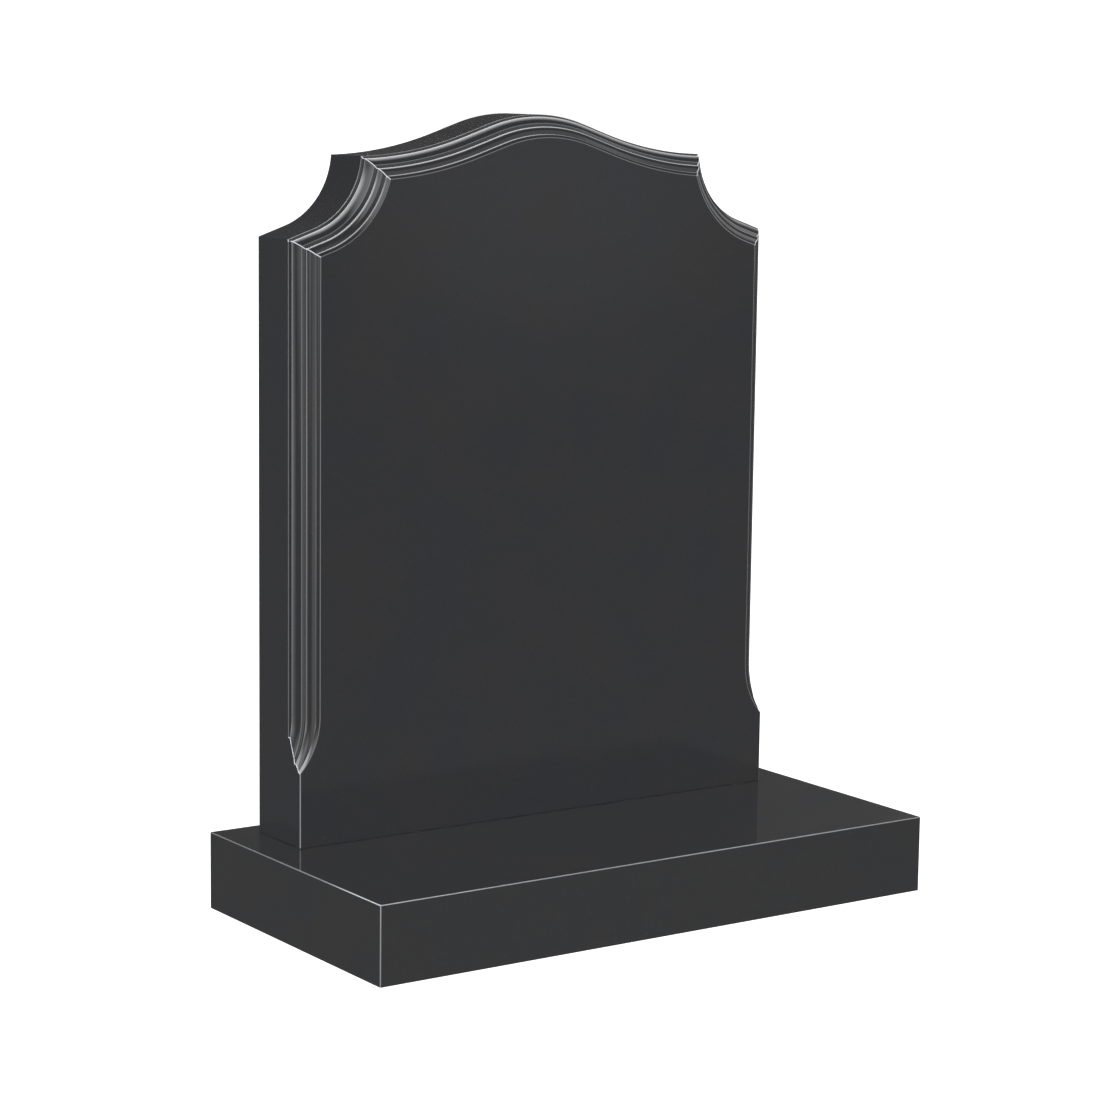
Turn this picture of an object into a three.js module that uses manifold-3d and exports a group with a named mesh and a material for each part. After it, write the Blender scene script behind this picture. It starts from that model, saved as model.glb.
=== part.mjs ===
// Headstone in two stones: an upright tablet with a moulded edge, standing on a plain base slab.
// Millimetres, +Z up. The face for the inscription looks along -Y, and the origin is on the
// ground under the middle of the base.

import * as THREE from 'three';
import { mergeVertices } from 'three/addons/utils/BufferGeometryUtils.js';
import Module from 'manifold-3d';

const degree = Math.PI / 180;

// Base slab
const baseWidth = 610;
const baseDepth = 305;
const baseHeight = 73;
const ledgeDepth = 203; // front of the base to the face of the tablet

// Tablet
const tabletWidth = 534;
const tabletThickness = 76.5;
const tabletHeight = 666;
const bedJoint = 0.3; // open joint that stands for the bedding between the two stones
const arris = 1; // every plain edge is taken off at 45 degrees by this much

// Head of the tablet: a crown that falls through a hollow to a shoulder corner on each side,
// then a scotia cut out of the corner of the stone, which runs out on a short flat to the side.
const headWidth = 382; // between the two shoulder corners
const crownRadius = 166;
const crownTurn = 18.6 * degree; // how far the crown turns over before it runs straight
const crownStraight = 32;
const hollowRadius = 362;
const scotiaRadius = 73.4;
const scotiaRise = 86 * degree; // steepness of the scotia at the shoulder corner
const scotiaFlat = 19 * degree; // slope of the short flat at its outer end

// Moulding worked on the front edge: three members, each a floor that leans a little to the
// outside, a riser square to the face and a flattened ovolo. They are listed from the side inward.
const floorLean = 17 * degree;
const members = [
  { floor: 2, riser: 2.9, width: 6, depth: 7.2, swell: 0.4 },
  { floor: 2.9, riser: 2.1, width: 5, depth: 4.5, swell: 0.7 },
  { floor: 1.8, riser: 0, width: 3.3, depth: 3.25, swell: 0.4 },
];

// Stops: low on both sides the moulding swings out of the stone. Its outermost line turns on the
// largest arc and its innermost on the smallest, so the members run together to a point.
const stopOuterRadius = 110;
const stopInnerRadius = 72.5;
const stopTipHeight = 70; // of the pointed end, above the foot of the tablet

// Fineness of the facets
const crownFacets = 14;
const hollowFacets = 9;
const scotiaFacets = 16;
const ovoloFacets = 6;
const stopFacets = 12;

// What follows from those sizes
const tabletFoot = baseHeight + bedJoint;
const tabletTop = tabletFoot + tabletHeight;
const tabletFace = ledgeDepth - baseDepth / 2;
const halfWidth = tabletWidth / 2;
const cutterMargin = 4; // how far a cut reaches past the stone

// The hollow's centre lies above the head, the crown's centre inside it.
const crownCentre = { x: 0, z: tabletTop - crownRadius };
const hollowCentre = {
  x: (crownRadius + hollowRadius) * Math.sin(crownTurn) + crownStraight * Math.cos(crownTurn),
  z: crownCentre.z + (crownRadius + hollowRadius) * Math.cos(crownTurn)
    - crownStraight * Math.sin(crownTurn),
};
const shoulder = {
  x: headWidth / 2,
  z: hollowCentre.z - Math.sqrt(hollowRadius ** 2 - (hollowCentre.x - headWidth / 2) ** 2),
};
const scotiaCentre = {
  x: shoulder.x + scotiaRadius * Math.sin(scotiaRise),
  z: shoulder.z + scotiaRadius * Math.cos(scotiaRise),
};

// Points on an arc. Angles are measured from straight down, towards the middle of the stone.
function arcPoints(centre, radius, from, to, facets) {
  const points = [];
  for (let i = 0; i <= facets; i += 1) {
    const turn = from + (to - from) * i / facets;
    points.push([centre.x - radius * Math.sin(turn), centre.z - radius * Math.cos(turn)]);
  }
  return points;
}

// Shoulder corner: where the scotia and the hollow meet, both moved inward by the same amount.
function shoulderCorner(inward) {
  const x = hollowCentre.x - scotiaCentre.x;
  const z = hollowCentre.z - scotiaCentre.z;
  const reach = Math.hypot(x, z);
  const scotia = scotiaRadius + inward;
  const hollow = hollowRadius + inward;
  const along = (reach ** 2 + scotia ** 2 - hollow ** 2) / (2 * reach);
  const aside = Math.sqrt(scotia ** 2 - along ** 2);
  return {
    x: scotiaCentre.x + (x * along - z * aside) / reach,
    z: scotiaCentre.z + (z * along + x * aside) / reach,
  };
}

// Right half of the head's outline, moved inward, from the side of the stone to the crown.
function headHalf(inward) {
  const corner = shoulderCorner(inward);
  const scotiaEnd = Math.atan2(scotiaCentre.x - corner.x, scotiaCentre.z - corner.z);
  const scotia = arcPoints(scotiaCentre, scotiaRadius + inward, scotiaFlat, scotiaEnd, scotiaFacets);
  const side = halfWidth - inward;
  const sideHeight = scotia[0][1] - (side - scotia[0][0]) * Math.tan(scotiaFlat);
  const hollowEnd = Math.atan2(hollowCentre.x - corner.x, hollowCentre.z - corner.z);
  const hollow = arcPoints(hollowCentre, hollowRadius + inward, hollowEnd, crownTurn, hollowFacets);
  const crown = arcPoints(crownCentre, -(crownRadius - inward), crownTurn, 0, crownFacets / 2);
  return [[side, sideHeight], ...scotia, ...hollow.slice(1), ...crown];
}

// A half outline and its mirror image as one run from the left foot over the crown to the right.
function bothSides(half) {
  const left = half.map(([x, z]) => [-x, z]);
  return [...left, ...half.slice(0, -1).reverse()];
}

// The moulding's section as [inward from the outline, back from the face].
function mouldingSection() {
  const total = (size) => members.reduce((sum, member) => sum + member[size], 0);
  const fall = Math.tan(floorLean);
  let inward = 0;
  let back = total('riser') + total('depth') + total('floor') * fall;
  const points = [[inward, back]];
  for (const { floor, riser, width, depth, swell } of members) {
    inward += floor;
    back -= floor * fall;
    points.push([inward, back]);
    back -= riser;
    if (riser > 0) {
      points.push([inward, back]);
    }
    const chord = Math.hypot(width, depth);
    const radius = (chord ** 2 / 4 + swell ** 2) / (2 * swell);
    const half = Math.asin(chord / 2 / radius);
    for (let i = 1; i <= ovoloFacets; i += 1) {
      const turn = half * (2 * i / ovoloFacets - 1);
      const along = chord / 2 + radius * Math.sin(turn);
      const out = radius * (Math.cos(turn) - Math.cos(half));
      points.push([
        inward + (width * along - depth * out) / chord,
        back - (depth * along + width * out) / chord,
      ]);
    }
    inward += width;
    back -= depth;
  }
  return points;
}

const section = mouldingSection();
const mouldingWidth = section[section.length - 1][0];
const mouldingDepth = section[0][1];
const stopTurn = Math.acos(1 - mouldingWidth / stopInnerRadius);
const stopTop = tabletFoot + stopTipHeight + stopInnerRadius * Math.sin(stopTurn);
const stopOverrun = 4 * degree; // the cutter goes this much further, clear of the stone

// One line of the moulding, from the left stop over the head to the right stop.
function mouldingLine(inward) {
  const level = Math.PI / 2;
  const narrowing = (stopOuterRadius - stopInnerRadius) * inward / mouldingWidth;
  const radius = stopOuterRadius - narrowing;
  const centre = { x: halfWidth - inward + radius, z: stopTop };
  const stop = arcPoints(centre, radius, level - stopTurn - stopOverrun, level, stopFacets);
  return bothSides([...stop, ...headHalf(inward)]);
}

// A closed body from rings of points with the same count, each joined to the next, with ends.
function bodyFromRings(rings) {
  const count = rings[0].length;
  const corners = rings.flat();
  const triangles = [];
  for (let i = 0; i < rings.length - 1; i += 1) {
    for (let j = 0; j < count; j += 1) {
      const here = i * count + j;
      const next = i * count + (j + 1) % count;
      triangles.push(next, here, here + count);
      triangles.push(next + count, next, here + count);
    }
  }
  const flat = (ring) => ring.map((corner) => new THREE.Vector2(...corner.section));
  const last = (rings.length - 1) * count;
  for (const [a, b, c] of THREE.ShapeUtils.triangulateShape(flat(rings[0]), [])) {
    triangles.push(a, c, b);
    triangles.push(last + a, last + b, last + c);
  }
  const geometry = new THREE.BufferGeometry();
  const places = corners.flatMap((corner) => corner.place);
  geometry.setAttribute('position', new THREE.Float32BufferAttribute(places, 3));
  geometry.setIndex(triangles);
  return geometry;
}

// The solid that a cutter of the moulding's section takes away on its way round the edge.
function mouldingCutter() {
  const [[x1, y1], [x2, y2]] = section.slice(-2);
  const onwards = x2 + (x2 - x1) * cutterMargin / (y1 - y2);
  const outline = [
    [-cutterMargin, mouldingDepth],
    ...section.slice(1, -1),
    [onwards, -cutterMargin],
    [-cutterMargin, -cutterMargin],
  ];
  const lines = outline.map(([inward]) => mouldingLine(inward));
  const rings = lines[0].map((_, i) => outline.map(([inward, back], j) => ({
    section: [inward, back],
    place: [lines[j][i][0], tabletFace + back, lines[j][i][1]],
  })));
  return bodyFromRings(rings);
}

// A slab cut to an outline, with its edges at both faces taken off at 45 degrees.
function slabWithArrises(points, thickness) {
  const shape = new THREE.Shape(points.map(([x, y]) => new THREE.Vector2(x, y)));
  return new THREE.ExtrudeGeometry(shape, {
    depth: thickness - 2 * arris,
    bevelSize: arris,
    bevelThickness: arris,
    bevelOffset: -arris,
    bevelSegments: 1,
    steps: 1,
  });
}

// The tablet before the moulding is worked. It starts below the foot, and is cut off there.
function tabletBlank() {
  const half = [[halfWidth, tabletFoot - cutterMargin], ...headHalf(0)];
  const geometry = slabWithArrises(bothSides(half), tabletThickness);
  geometry.rotateX(Math.PI / 2);
  geometry.translate(0, tabletFace + tabletThickness - arris, 0);
  return geometry;
}

// The base before its underside is cut off flat. Its upright edges are taken off as well.
function baseBlank() {
  const x = baseWidth / 2;
  const y = baseDepth / 2;
  const outline = [
    [x - arris, -y], [x, -y + arris], [x, y - arris], [x - arris, y],
    [-x + arris, y], [-x, y - arris], [-x, -y + arris], [-x + arris, -y],
  ];
  const geometry = slabWithArrises(outline, baseHeight + cutterMargin);
  geometry.translate(0, 0, arris - cutterMargin);
  return geometry;
}

// Everything below a level, to cut a foot off square.
function groundUpTo(level) {
  const geometry = new THREE.BoxGeometry(2 * baseWidth, 2 * baseDepth, 4 * cutterMargin);
  geometry.translate(0, 0, level - 2 * cutterMargin);
  return geometry;
}

const wasm = await Module();
wasm.setup();

function toSolid(geometry) {
  geometry.deleteAttribute('normal');
  geometry.deleteAttribute('uv');
  const merged = mergeVertices(geometry, 1e-4);
  return new wasm.Manifold(new wasm.Mesh({
    numProp: 3,
    vertProperties: new Float32Array(merged.attributes.position.array),
    triVerts: new Uint32Array(merged.index.array),
  }));
}

function toGeometry(solid) {
  const mesh = solid.getMesh();
  const geometry = new THREE.BufferGeometry();
  geometry.setAttribute('position', new THREE.BufferAttribute(mesh.vertProperties, 3));
  geometry.setIndex(new THREE.BufferAttribute(mesh.triVerts, 1));
  geometry.computeVertexNormals();
  return geometry;
}

function polishedGranite(color) {
  return new THREE.MeshStandardMaterial({ color, roughness: 0.12, metalness: 0 });
}

const tabletSolid = toSolid(tabletBlank())
  .subtract(toSolid(groundUpTo(tabletFoot)))
  .subtract(toSolid(mouldingCutter()));
const baseSolid = toSolid(baseBlank()).subtract(toSolid(groundUpTo(0)));

const tablet = new THREE.Mesh(toGeometry(tabletSolid), polishedGranite(0x343436));
tablet.name = 'tablet';

const base = new THREE.Mesh(toGeometry(baseSolid), polishedGranite(0x37373a));
base.name = 'base_slab';

const headstone = new THREE.Group();
headstone.add(base, tablet);

export default headstone;
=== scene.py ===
"""A headstone in two stones of polished dark granite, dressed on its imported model."""

import math

import bmesh
import bpy
from mathutils import Euler, Matrix, Vector


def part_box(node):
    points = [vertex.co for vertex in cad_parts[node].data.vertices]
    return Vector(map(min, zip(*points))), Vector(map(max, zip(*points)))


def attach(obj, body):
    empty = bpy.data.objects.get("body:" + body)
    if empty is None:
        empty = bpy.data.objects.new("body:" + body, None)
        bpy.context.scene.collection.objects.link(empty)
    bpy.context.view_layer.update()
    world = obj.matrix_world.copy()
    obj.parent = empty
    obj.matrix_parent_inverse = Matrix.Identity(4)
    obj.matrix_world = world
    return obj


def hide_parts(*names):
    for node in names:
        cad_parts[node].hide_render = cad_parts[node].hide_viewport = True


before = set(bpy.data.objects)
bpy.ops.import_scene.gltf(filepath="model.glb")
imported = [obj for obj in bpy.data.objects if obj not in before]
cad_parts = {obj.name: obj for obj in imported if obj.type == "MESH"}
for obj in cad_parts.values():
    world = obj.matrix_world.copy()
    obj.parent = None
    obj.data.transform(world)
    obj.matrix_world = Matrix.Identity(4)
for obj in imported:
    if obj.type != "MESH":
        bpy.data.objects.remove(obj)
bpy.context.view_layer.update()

# BASE SLAB
# The plain slab the tablet is bedded on, cut square from dark fine-grained granite. Its top and
# sides are polished, its upright and top edges are eased by hand, and its underside is sawn flat.

MM = 0.001
EASED_EDGE = 0.75 * MM  # width of the flat that takes off every plain edge, along either face
SAWN_PLANE = 0.01  # square metres; a face larger than this is a true plane and mirrors as one
CRISP = math.radians(12)  # an edge that turns by more than this stays crisp
ON_PLANE = 1e-7  # metres; a corner this near to a cut is taken as lying on it
EDGE_HONED_AND_HIGHLIT, EDGE_HONED_ONLY = 0.35, 0.05  # paleness painted on the eased edges: the rubbed finish plus a painted highlight, and at the back the rubbed finish alone


def linear(hex_colour):
    """A colour written as on a screen, #rrggbb, turned to the linear values that shaders take."""
    parts = [int(hex_colour[i:i + 2], 16) / 255 for i in (1, 3, 5)]
    return [p / 12.92 if p <= 0.04045 else ((p + 0.055) / 1.055) ** 2.4 for p in parts] + [1.0]


def node(tree, kind, settings=(), **inputs):
    """Adds a node, sets its settings and its sockets, and links the sockets given a source."""
    new = tree.nodes.new(kind)
    for name, value in dict(settings).items():
        setattr(new, name, value)
    for name, value in inputs.items():
        socket = new.inputs[int(name[1:])] if name[1:].isdigit() else new.inputs[name.replace("_", " ")]
        if isinstance(value, bpy.types.NodeSocket):
            tree.links.new(value, socket)
        else:
            socket.default_value = value
    return new


def polished_granite(name, ground, flecks, cloud_mm, joint=None):
    """Dark fine-grained granite, diamond polished to a wet gloss: a near-black grey ground with
    clouds of slightly cooler and warmer grey, and sparse small crystals a little lighter than it.
    The eased edges, marked by an attribute, are only rubbed and so look pale; that pale colour is also
    a painted highlight for the lines of light they catch.
    A height given as the joint darkens a thin band, about a millimetre high, along the stone's foot."""
    material = bpy.data.materials.new(name)
    material.use_nodes = True
    tree = material.node_tree
    tree.nodes.clear()
    place = node(tree, "ShaderNodeTexCoord").outputs["Object"]
    clouds = node(tree, "ShaderNodeTexNoise", Vector=place, Scale=1 / (cloud_mm * MM), Detail=4.0,
                  Roughness=0.55)
    cloudy = node(tree, "ShaderNodeMix", {"data_type": "RGBA"}, i0=clouds.outputs["Fac"],
                  i6=linear(ground[0]), i7=linear(ground[1]))
    grain_mm = 1.6  # crystals are 0.3 to 1 mm in the stone, and drawn larger so that they show
    crystals = node(tree, "ShaderNodeTexVoronoi", Vector=place, Scale=1 / (grain_mm * MM))
    bright = node(tree, "ShaderNodeMapRange", Value=crystals.outputs["Color"], From_Min=0.80,
                  From_Max=1.0, To_Min=0.0, To_Max=0.15)
    stone = node(tree, "ShaderNodeMix", {"data_type": "RGBA"}, i0=bright.outputs["Result"],
                 i6=cloudy.outputs["Result"], i7=linear(flecks))
    honed_and_highlit = node(tree, "ShaderNodeAttribute", {"attribute_name": "honed_and_highlit"}).outputs["Fac"]
    # The eased edges are painted pale grey: their rubbed finish, and a painted highlight for the light
    # they catch.
    colour = node(tree, "ShaderNodeMix", {"data_type": "RGBA"}, i0=honed_and_highlit,
                  i6=stone.outputs["Result"], i7=linear("#c6c8cc"))
    if joint is not None:
        # Darkens the lowest millimetre of the stone to a thin near-black line along its foot.
        height = node(tree, "ShaderNodeSeparateXYZ", Vector=place).outputs["Z"]
        foot_darkening = node(tree, "ShaderNodeMapRange", Value=height, From_Min=joint + 0.6 * MM,
                       From_Max=joint + 1.0 * MM, To_Min=1.0, To_Max=0.0)
        colour = node(tree, "ShaderNodeMix", {"data_type": "RGBA"}, i0=foot_darkening.outputs["Result"],
                      i6=colour.outputs["Result"], i7=linear("#1e1f22"))
    polish = node(tree, "ShaderNodeMapRange", Value=clouds.outputs["Fac"], From_Min=0.3,
                  From_Max=0.7, To_Min=0.07, To_Max=0.12)
    gloss = node(tree, "ShaderNodeMix", {"data_type": "FLOAT"}, i0=honed_and_highlit,
                 i2=polish.outputs["Result"], i3=0.45)
    grit_mm = 2.5  # the rubbing stone leaves finer scratches, drawn larger so that they show
    grit = node(tree, "ShaderNodeTexNoise", Vector=place, Scale=1 / (grit_mm * MM), Detail=3.0)
    depth = node(tree, "ShaderNodeMath", {"operation": "MULTIPLY_ADD"}, i0=honed_and_highlit, i1=0.06, i2=0.001)
    bump = node(tree, "ShaderNodeBump", Height=grit.outputs["Fac"], Strength=depth.outputs["Value"],
                Distance=0.5 * MM)
    shader = node(tree, "ShaderNodeBsdfPrincipled", Base_Color=colour.outputs["Result"],
                  Roughness=gloss.outputs["Result"], Normal=bump.outputs["Normal"], IOR=1.54)
    node(tree, "ShaderNodeOutputMaterial", Surface=shader.outputs["BSDF"])
    return material


def cut_flat(bm, point, normal):
    """Cuts off what lies beyond a plane, closes the cut and returns the faces that close it."""
    geometry = bm.verts[:] + bm.edges[:] + bm.faces[:]
    bmesh.ops.bisect_plane(bm, geom=geometry, dist=ON_PLANE, plane_co=point, plane_no=normal,
                           clear_outer=True)
    edges = [edge for edge in bm.edges if edge.is_boundary]
    return bmesh.ops.holes_fill(bm, edges=edges, sides=0)["faces"]


def ease_with_plane(bm, honed_and_highlit, point, normal, edge_paleness=EDGE_HONED_AND_HIGHLIT):
    """Takes off an edge with a flat, and paints it pale by the given amount, for its rubbed finish and
    a painted highlight.
    """
    for face in cut_flat(bm, point, normal):
        face[honed_and_highlit] = edge_paleness


def finish_stone(bm, name, material, replaced):
    """Turns a stone's bmesh into a piece that rides on the frame in place of its CAD node."""
    bmesh.ops.recalc_face_normals(bm, faces=bm.faces[:])
    for face in bm.faces:
        face.smooth = face.calc_area() < SAWN_PLANE
    for edge in bm.edges:
        edge.smooth = edge.calc_face_angle(0.0) < CRISP
    mesh = bpy.data.meshes.new(name)
    bm.to_mesh(mesh)
    bm.free()
    piece = bpy.data.objects.new(name, mesh)
    bpy.context.scene.collection.objects.link(piece)
    mesh.materials.append(material)
    piece.visible_diffuse = False  # the studio's light reaches every face, and casts no shadow
    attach(piece, "root")
    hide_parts(replaced)


slab_low, slab_high = (Vector(corner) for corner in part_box("base_slab"))
slab_size = slab_high - slab_low

bm = bmesh.new()
bmesh.ops.create_cube(bm, size=1.0)
bmesh.ops.scale(bm, vec=slab_size, verts=bm.verts[:])
bmesh.ops.translate(bm, vec=(slab_low + slab_high) / 2, verts=bm.verts[:])
honed_and_highlit_face = bm.faces.layers.float.new("honed_and_highlit")
for x, y in ((-1, -1), (1, -1), (1, 1), (-1, 1)):
    corner = Vector((x * (slab_size.x / 2 - EASED_EDGE / 2), y * (slab_size.y / 2 - EASED_EDGE / 2), 0))
    ease_with_plane(bm, honed_and_highlit_face, corner, (x, y, 0))
# The top edges in front and at the sides get the pale paint with a painted highlight, and the back one
# the rubbed finish alone.
for x, y in ((-1, 0), (1, 0), (0, -1), (0, 1)):
    edge_line = Vector((x * (slab_size.x / 2 - EASED_EDGE / 2), y * (slab_size.y / 2 - EASED_EDGE / 2),
                        slab_high.z - EASED_EDGE / 2))
    ease_with_plane(bm, honed_and_highlit_face, edge_line, (x, y, 1), edge_paleness=EDGE_HONED_ONLY if y > 0 else EDGE_HONED_AND_HIGHLIT)
base_granite = polished_granite("polished_granite_base", ("#2a2c2f", "#2f2e2d"), "#4a4b4f", 70)
finish_stone(bm, "base_slab_stone", base_granite, "base_slab")

# TABLET
# The upright stone, sawn from a slab of the same granite three inches thick. Its head is profiled
# to an ogee with a scotia at each shoulder, and a router works the three-member moulding round its
# front edge and lifts out at the two stops. Face, edges and moulding are polished.

# The sizes and lines below are in millimetres, and the mesh is scaled to metres before its cuts.
tablet_low, tablet_high = (Vector(corner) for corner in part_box("tablet"))
HALF_WIDTH = tablet_high.x / MM
FACE = tablet_low.y / MM
THICKNESS = (tablet_high.y - tablet_low.y) / MM
FOOT = tablet_low.z / MM
TOP = tablet_high.z / MM
BEYOND = 10.0  # how far a line is drawn past the stone before it is cut off
FOOT_BEYOND = 25.0  # the same, sideways along the foot, further out than the stops' arcs reach
CLOSE = 1e-4  # millimetres; corners this near to each other are one

CROWN_RADIUS, CROWN_TURN = 166.0, math.radians(18.6)
CROWN_STRAIGHT = 32.0
HOLLOW_RADIUS = 362.0
SCOTIA_RADIUS, SCOTIA_RISE, SCOTIA_FLAT = 73.4, math.radians(86), math.radians(19)
HEAD_HALF = 191.0  # middle of the head to its shoulder corner
STOP_OUTER, STOP_INNER = 110.0, 72.5  # arcs of the moulding's outermost and innermost line
STOP_TIP = 70.0  # height of the pointed end above the foot
MEMBERS = (  # floor, riser, then the width, depth and swell of the ovolo
    (2.0, 2.9, 6.0, 7.2, 0.4),
    (2.9, 2.1, 5.0, 4.5, 0.7),
    (1.8, 0.0, 3.3, 3.25, 0.4),
)
FLOOR_FALL = math.tan(math.radians(17))  # the floors lean a little to the outside
STOP_STEPS, SCOTIA_STEPS, HOLLOW_STEPS, CROWN_STEPS, OVOLO_STEPS = 16, 28, 20, 12, 6
STOP_OVERRUN = math.radians(4)  # the stops' arcs run on past the side, which is cut flat later


def moulding_section():
    """The moulding as (inward from the outline, back from the face), from the side to the face."""
    inward, back = 0.0, sum(member[0] * FLOOR_FALL + member[1] + member[3] for member in MEMBERS)
    points = [(inward, back)]
    for floor, riser, width, depth, swell in MEMBERS:
        inward += floor
        back -= floor * FLOOR_FALL
        points.append((inward, back))
        back -= riser
        if riser:
            points.append((inward, back))
        chord = math.hypot(width, depth)
        radius = (chord ** 2 / 4 + swell ** 2) / (2 * swell)
        half = math.asin(chord / 2 / radius)
        for step in range(1, OVOLO_STEPS + 1):
            turn = half * (2 * step / OVOLO_STEPS - 1)
            along = chord / 2 + radius * math.sin(turn)
            out = radius * (math.cos(turn) - math.cos(half))
            points.append((inward + (width * along - depth * out) / chord,
                           back - (depth * along + width * out) / chord))
        inward += width
        back -= depth
    return points


crown_centre = Vector((0, 0, TOP - CROWN_RADIUS))
hollow_centre = crown_centre + Vector((
    (CROWN_RADIUS + HOLLOW_RADIUS) * math.sin(CROWN_TURN) + CROWN_STRAIGHT * math.cos(CROWN_TURN), 0,
    (CROWN_RADIUS + HOLLOW_RADIUS) * math.cos(CROWN_TURN) - CROWN_STRAIGHT * math.sin(CROWN_TURN)))
shoulder_z = hollow_centre.z - math.sqrt(HOLLOW_RADIUS ** 2 - (hollow_centre.x - HEAD_HALF) ** 2)
scotia_centre = Vector((HEAD_HALF + SCOTIA_RADIUS * math.sin(SCOTIA_RISE), 0,
                        shoulder_z + SCOTIA_RADIUS * math.cos(SCOTIA_RISE)))
SECTION = moulding_section()
STOP_TURN = math.acos(1 - SECTION[-1][0] / STOP_INNER)
stop_z = FOOT + STOP_TIP + STOP_INNER * math.sin(STOP_TURN)


def shoulder_corner(inward):
    """Where the scotia and the hollow meet when both are moved inward by the same amount."""
    apart = hollow_centre - scotia_centre
    scotia, hollow = SCOTIA_RADIUS + inward, HOLLOW_RADIUS + inward
    along = (apart.length_squared + scotia ** 2 - hollow ** 2) / (2 * apart.length)
    aside = math.sqrt(scotia ** 2 - along ** 2)
    way = apart.normalized()
    return scotia_centre + way * along + Vector((-way.z, 0, way.x)) * aside


def bearing(centre, point):
    """Angle of a point seen from a centre, from straight down towards the middle of the stone."""
    return math.atan2(centre.x - point.x, centre.z - point.z)


def draw_line(bm, inward, back, side=None):
    """Draws one line of the moulding, moved inward from the outline, on the right half: from the
    foot up through the stop, the side, the scotia and the hollow to the top of the crown."""
    side = inward if side is None else side
    y = FACE + back
    drawn = []

    def straight_to(x, z):
        end = Vector((x, y, z))
        if not drawn:
            drawn.append(bm.verts.new(end))
            return
        made = bmesh.ops.extrude_vert_indiv(bm, verts=[drawn[-1]])
        made["verts"][0].co = end
        drawn.append(made["verts"][0])

    def round_about(centre, turn, steps):
        made = bmesh.ops.spin(bm, geom=[drawn[-1]], cent=(centre.x, y, centre.z), axis=(0, 1, 0),
                              angle=turn, steps=steps, use_merge=False)
        drawn.append(next(v for v in made["geom_last"] if isinstance(v, bmesh.types.BMVert)))

    stop_radius = STOP_OUTER - (STOP_OUTER - STOP_INNER) * side / SECTION[-1][0]
    stop_centre = Vector((HALF_WIDTH - side + stop_radius, 0, stop_z))
    overrun = STOP_TURN + STOP_OVERRUN
    straight_to(0, FOOT - BEYOND)
    straight_to(HALF_WIDTH + FOOT_BEYOND, FOOT - BEYOND)
    straight_to(stop_centre.x - stop_radius * math.cos(overrun),
                stop_z - stop_radius * math.sin(overrun))
    round_about(stop_centre, overrun, STOP_STEPS)
    corner = shoulder_corner(inward)
    radius = SCOTIA_RADIUS + inward
    toe = scotia_centre - radius * Vector((math.sin(SCOTIA_FLAT), 0, math.cos(SCOTIA_FLAT)))
    straight_to(HALF_WIDTH - side, toe.z - (HALF_WIDTH - side - toe.x) * math.tan(SCOTIA_FLAT))
    straight_to(toe.x, toe.z)
    round_about(scotia_centre, bearing(scotia_centre, corner) - SCOTIA_FLAT, SCOTIA_STEPS)
    round_about(hollow_centre, CROWN_TURN - bearing(hollow_centre, corner), HOLLOW_STEPS)
    straight_to((CROWN_RADIUS - inward) * math.sin(CROWN_TURN),
                crown_centre.z + (CROWN_RADIUS - inward) * math.cos(CROWN_TURN))
    round_about(crown_centre, -CROWN_TURN, CROWN_STEPS)


def chain_from(start):
    """The edges of a drawn line, in order from its start."""
    edges, vertex, edge = [], start, start.link_edges[0]
    while edge is not None:
        edges.append(edge)
        vertex = edge.other_vert(vertex)
        edge = next((e for e in vertex.link_edges if e is not edge), None)
    return edges


bm = bmesh.new()
# The plain back part comes first, from its eased back edge forward. Beyond the sides of the stone
# its lines are drawn too wide, and the sides are cut to their plane afterwards.
eased = EASED_EDGE / MM
lines = [(eased, THICKNESS, -BEYOND), (0.0, THICKNESS - eased, -BEYOND), (0.0, SECTION[0][1], -BEYOND)]
lines += [(inward, back, None) for inward, back in SECTION[1:]]
starts = []
for inward, back, side in lines:
    before = len(bm.verts)
    draw_line(bm, inward, back, side)
    bm.verts.ensure_lookup_table()
    starts.append(bm.verts[before])
chains = [chain_from(start) for start in starts]
honed_and_highlit_face = bm.faces.layers.float.new("honed_and_highlit")
bands = []
for outer, inner in zip(chains, chains[1:]):
    bands.append(bmesh.ops.bridge_loops(bm, edges=outer + inner)["faces"])
for face in bands[0]:
    face[honed_and_highlit_face] = EDGE_HONED_ONLY
bmesh.ops.mirror(bm, geom=bm.verts[:] + bm.edges[:] + bm.faces[:], axis="X", merge_dist=CLOSE)
bmesh.ops.remove_doubles(bm, verts=bm.verts[:], dist=CLOSE)
bmesh.ops.holes_fill(bm, edges=[edge for edge in bm.edges if edge.is_boundary], sides=0)
bmesh.ops.recalc_face_normals(bm, faces=bm.faces[:])
bmesh.ops.scale(bm, vec=(MM, MM, MM), verts=bm.verts[:])

cut_flat(bm, (0, 0, tablet_low.z), (0, 0, -1))
for x in (-1, 1):
    side = x * tablet_high.x
    cut_flat(bm, (side, 0, 0), (x, 0, 0))
    eased_x = side - x * EASED_EDGE / 2
    ease_with_plane(bm, honed_and_highlit_face, (eased_x, tablet_low.y + EASED_EDGE / 2, 0), (x, -1, 0))
    ease_with_plane(bm, honed_and_highlit_face, (eased_x, tablet_high.y - EASED_EDGE / 2, 0), (x, 1, 0), EDGE_HONED_ONLY)

# Every outward arris of the moulding is rubbed round by a hair, and catches a thin line of light.
# The mitres and the rims of the stops, which run from front to back, are painted palest: their rubbed
# finish plus a painted highlight for the bright lines they show.
SLIVER = 0.05 * MM  # an edge shorter than this is closed up first
ARRIS_TURN = math.radians(10)  # an edge that turns by less is part of a curve
RUBBED_ARRIS = 0.45 * MM
RIM_SLOPE = 0.1  # share of its length by which a mitre or a rim runs from front to back
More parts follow.
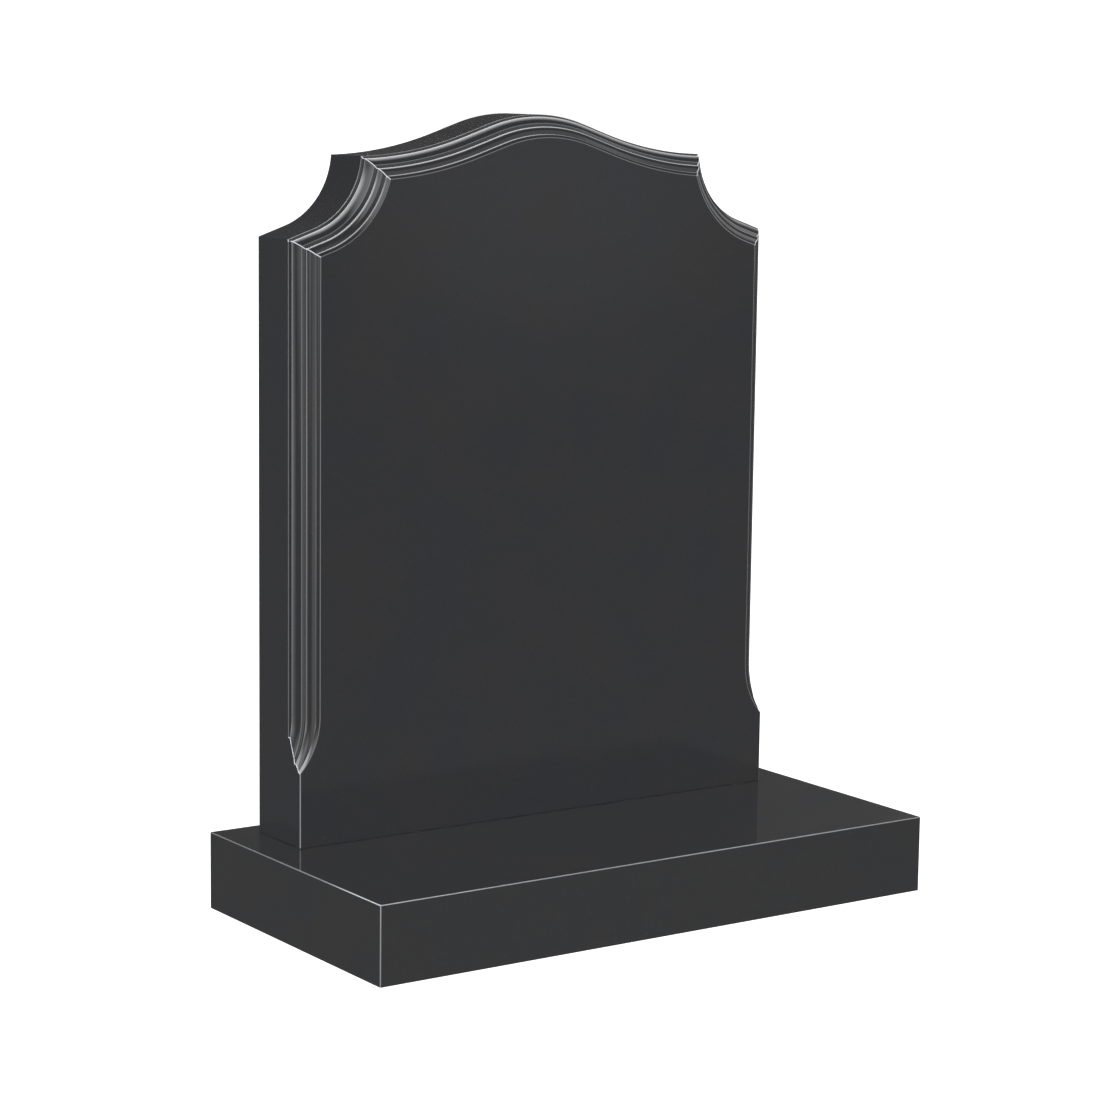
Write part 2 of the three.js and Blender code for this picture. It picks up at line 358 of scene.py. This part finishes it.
# pale paint on the rubbed faces, rubbed finish plus a painted highlight: full on mitres and rims,
# slight on the other arrises
RIM_HONED_AND_HIGHLIT, ARRIS_HONED_AND_HIGHLIT = 1.0, 0.15
lowest = tablet_low.z + 10 * MM  # clear of the foot
hindmost = tablet_low.y + (SECTION[0][1] + 0.5) * MM  # just behind the moulding

bmesh.ops.dissolve_degenerate(bm, dist=SLIVER, edges=bm.edges[:])
arrises = [edge for edge in bm.edges
           if edge.is_convex and edge.calc_face_angle(0.0) > ARRIS_TURN
           and edge.verts[0].co.z > lowest and max(vert.co.y for vert in edge.verts) < hindmost
           and not any(face[honed_and_highlit_face] for face in edge.link_faces)]
rubbed = bmesh.ops.bevel(bm, geom=arrises, offset=RUBBED_ARRIS, offset_type="OFFSET", segments=3,
                         profile=0.5, affect="EDGES", clamp_overlap=False, material=-1)
for face in rubbed["faces"]:
    longest = max(face.edges, key=lambda edge: edge.calc_length())
    slope = abs(longest.verts[0].co.y - longest.verts[1].co.y) / longest.calc_length()
    face[honed_and_highlit_face] = RIM_HONED_AND_HIGHLIT if slope > RIM_SLOPE else ARRIS_HONED_AND_HIGHLIT

tablet_granite = polished_granite("polished_granite_tablet", ("#282a2f", "#2d2c2b"), "#4a4b4f", 70,
                                  joint=tablet_low.z)
finish_stone(bm, "tablet_stone", tablet_granite, "tablet")

# FLOOR, LIGHT AND CAMERA
# A white studio sweep. The stones mirror a dim room with an arch of soft light over it, so the
# polish shows as dark faces with lines of light along the moulding.

SWEEP = 30.0  # metres from the stone to the sweep's edges, where it meets a background as white
HAIR_UNDER = 0.5 * MM  # keeps the floor's plane apart from the base's underside

floor_mesh = bpy.data.meshes.new("floor")
bm = bmesh.new()
bmesh.ops.create_grid(bm, x_segments=1, y_segments=1, size=SWEEP)
bm.to_mesh(floor_mesh)
bm.free()
floor = bpy.data.objects.new("floor", floor_mesh)
bpy.context.scene.collection.objects.link(floor)
floor.location = (0, 0, -HAIR_UNDER)
floor.visible_glossy = False
paper = bpy.data.materials.new("white_paper")
paper.use_nodes = True
paper_shader = paper.node_tree.nodes["Principled BSDF"]
paper_shader.inputs["Base Color"].default_value = linear("#f4f4f4")
paper_shader.inputs["Emission Color"].default_value = linear("#ffffff")
paper_shader.inputs["Emission Strength"].default_value = 0.25
paper_shader.inputs["Roughness"].default_value = 0.9
paper_shader.inputs["Specular IOR Level"].default_value = 0.0
floor_mesh.materials.append(paper)

world = bpy.data.worlds.new("studio")
bpy.context.scene.world = world
world.use_nodes = True
sky = world.node_tree
sky.nodes.clear()
world.cycles.sampling_method = "NONE"  # a polished face then mirrors only the room below
way = node(sky, "ShaderNodeTexCoord").outputs["Generated"]


def ramp(value, nothing, full, strength=1.0):
    """Rises smoothly from nothing at one value to its full strength at the other."""
    return node(sky, "ShaderNodeMapRange", {"interpolation_type": "SMOOTHSTEP"}, Value=value,
                From_Min=nothing, From_Max=full, To_Min=0.0, To_Max=strength).outputs["Result"]


def sums(operation, first, second):
    """Adds or multiplies two values."""
    return node(sky, "ShaderNodeMath", {"operation": operation}, i0=first, i1=second).outputs["Value"]


def towards(aim):
    """Cosine of the angle between a ray and a direction."""
    return node(sky, "ShaderNodeVectorMath", {"operation": "DOT_PRODUCT"}, i0=way,
                i1=Vector(aim)).outputs["Value"]


# An arch of light spans the stone from side to side, a little behind it. It is strongest high on
# the left, a little stronger than elsewhere at the stone's own level, and weakest on the right. A
# patch hangs on the left in front, a dim one stands straight in front, and two hang to the right of
# it and light the moulding's floors. The floor of the room is a little lighter than its walls, and
# so are two spots, one far in front and one behind that the base's right end mirrors.
DIM_ROOM, ARCH_LIGHT = 0.07, 1.3
behind, up = towards((0, 1, 0)), towards((0, 0, 1))
arch = sums("MULTIPLY", ramp(behind, 0.74, 0.62), ramp(towards((-0.35, 1, 0.1)), -0.05, 0.30))
left = sums("MULTIPLY", ramp(towards((-0.6, 0, 0.8)), -0.3, 0.8, 7.0), ramp(up, 0.2, 0.6))
level = sums("MULTIPLY", ramp(up, -0.2, 0.0, 1.2), ramp(up, 0.1, 0.0))
arch = sums("MULTIPLY", arch, sums("ADD", sums("ADD", ARCH_LIGHT, level), left))
arch = sums("MULTIPLY", arch, ramp(towards((1, 0, -0.6)), 0.72, 0.5))
high = ramp(towards((-0.62, -0.62, 0.48)), 0.82, 1.0, 2.6)
front = ramp(towards((-0.05, -0.99, -0.1)), 0.86, 1.0, 0.85)
brow = sums("MULTIPLY", ramp(towards((0.58, -0.69, 0.43)), 0.86, 0.97, 0.6), ramp(up, 0.28, 0.36))
right = ramp(towards((0.89, -0.41, 0.22)), 0.94, 0.99, 1.5)
front = sums("ADD", front, sums("ADD", brow, right))
below = sums("MULTIPLY", ramp(up, 0.03, -0.03, 0.06), ramp(towards((0.5, -1, 0)), -2.2, 0.5))
glow = ramp(towards((0.565, -0.825, -0.02)), 0.9966, 1.0, 0.2)
room = sums("ADD", sums("ADD", DIM_ROOM, arch), sums("ADD", high, front))
sheen = ramp(towards((0.65, 0.715, 0.26)), 0.9965, 1.0, 0.012)
room = sums("ADD", sums("ADD", room, sheen), sums("ADD", below, glow))

# The stones' own colour is lit from all round, most from above, and behind them the camera sees
# nothing but white.
PAPER_WHITE = 1.06
overall = sums("ADD", 0.85, ramp(up, 0.0, 1.0, 0.7))
path = node(sky, "ShaderNodeLightPath")
seen = node(sky, "ShaderNodeMix", {"data_type": "FLOAT"}, i0=path.outputs["Is Camera Ray"],
            i2=overall, i3=PAPER_WHITE)
light = node(sky, "ShaderNodeMix", {"data_type": "FLOAT"}, i0=path.outputs["Is Glossy Ray"],
             i2=seen.outputs["Result"], i3=room)
sky_light = node(sky, "ShaderNodeBackground", Color=(1.0, 1.0, 1.0, 1.0),
                 Strength=light.outputs["Result"])
node(sky, "ShaderNodeOutputWorld", Surface=sky_light.outputs["Background"])
bpy.context.scene.view_settings.view_transform = "Standard"

SENSOR_MM, FOCAL_PIXELS, FRAME_PIXELS = 36.0, 3129.3, 1100
AZIMUTH, ELEVATION, ROLL = (math.radians(angle) for angle in (34.634, -8.819, 0.729))
STAND = Vector((-1.6654, -2.3701, 0.7856))

camera_data = bpy.data.cameras.new("camera")
camera_data.sensor_width = SENSOR_MM
camera_data.lens = SENSOR_MM * FOCAL_PIXELS / FRAME_PIXELS
camera = bpy.data.objects.new("camera", camera_data)
bpy.context.scene.collection.objects.link(camera)
turn = Euler((math.pi / 2 + ELEVATION, 0, -AZIMUTH)).to_matrix() @ Matrix.Rotation(ROLL, 3, "Z")
camera.matrix_world = Matrix.Translation(STAND) @ turn.to_4x4()
bpy.context.scene.camera = camera
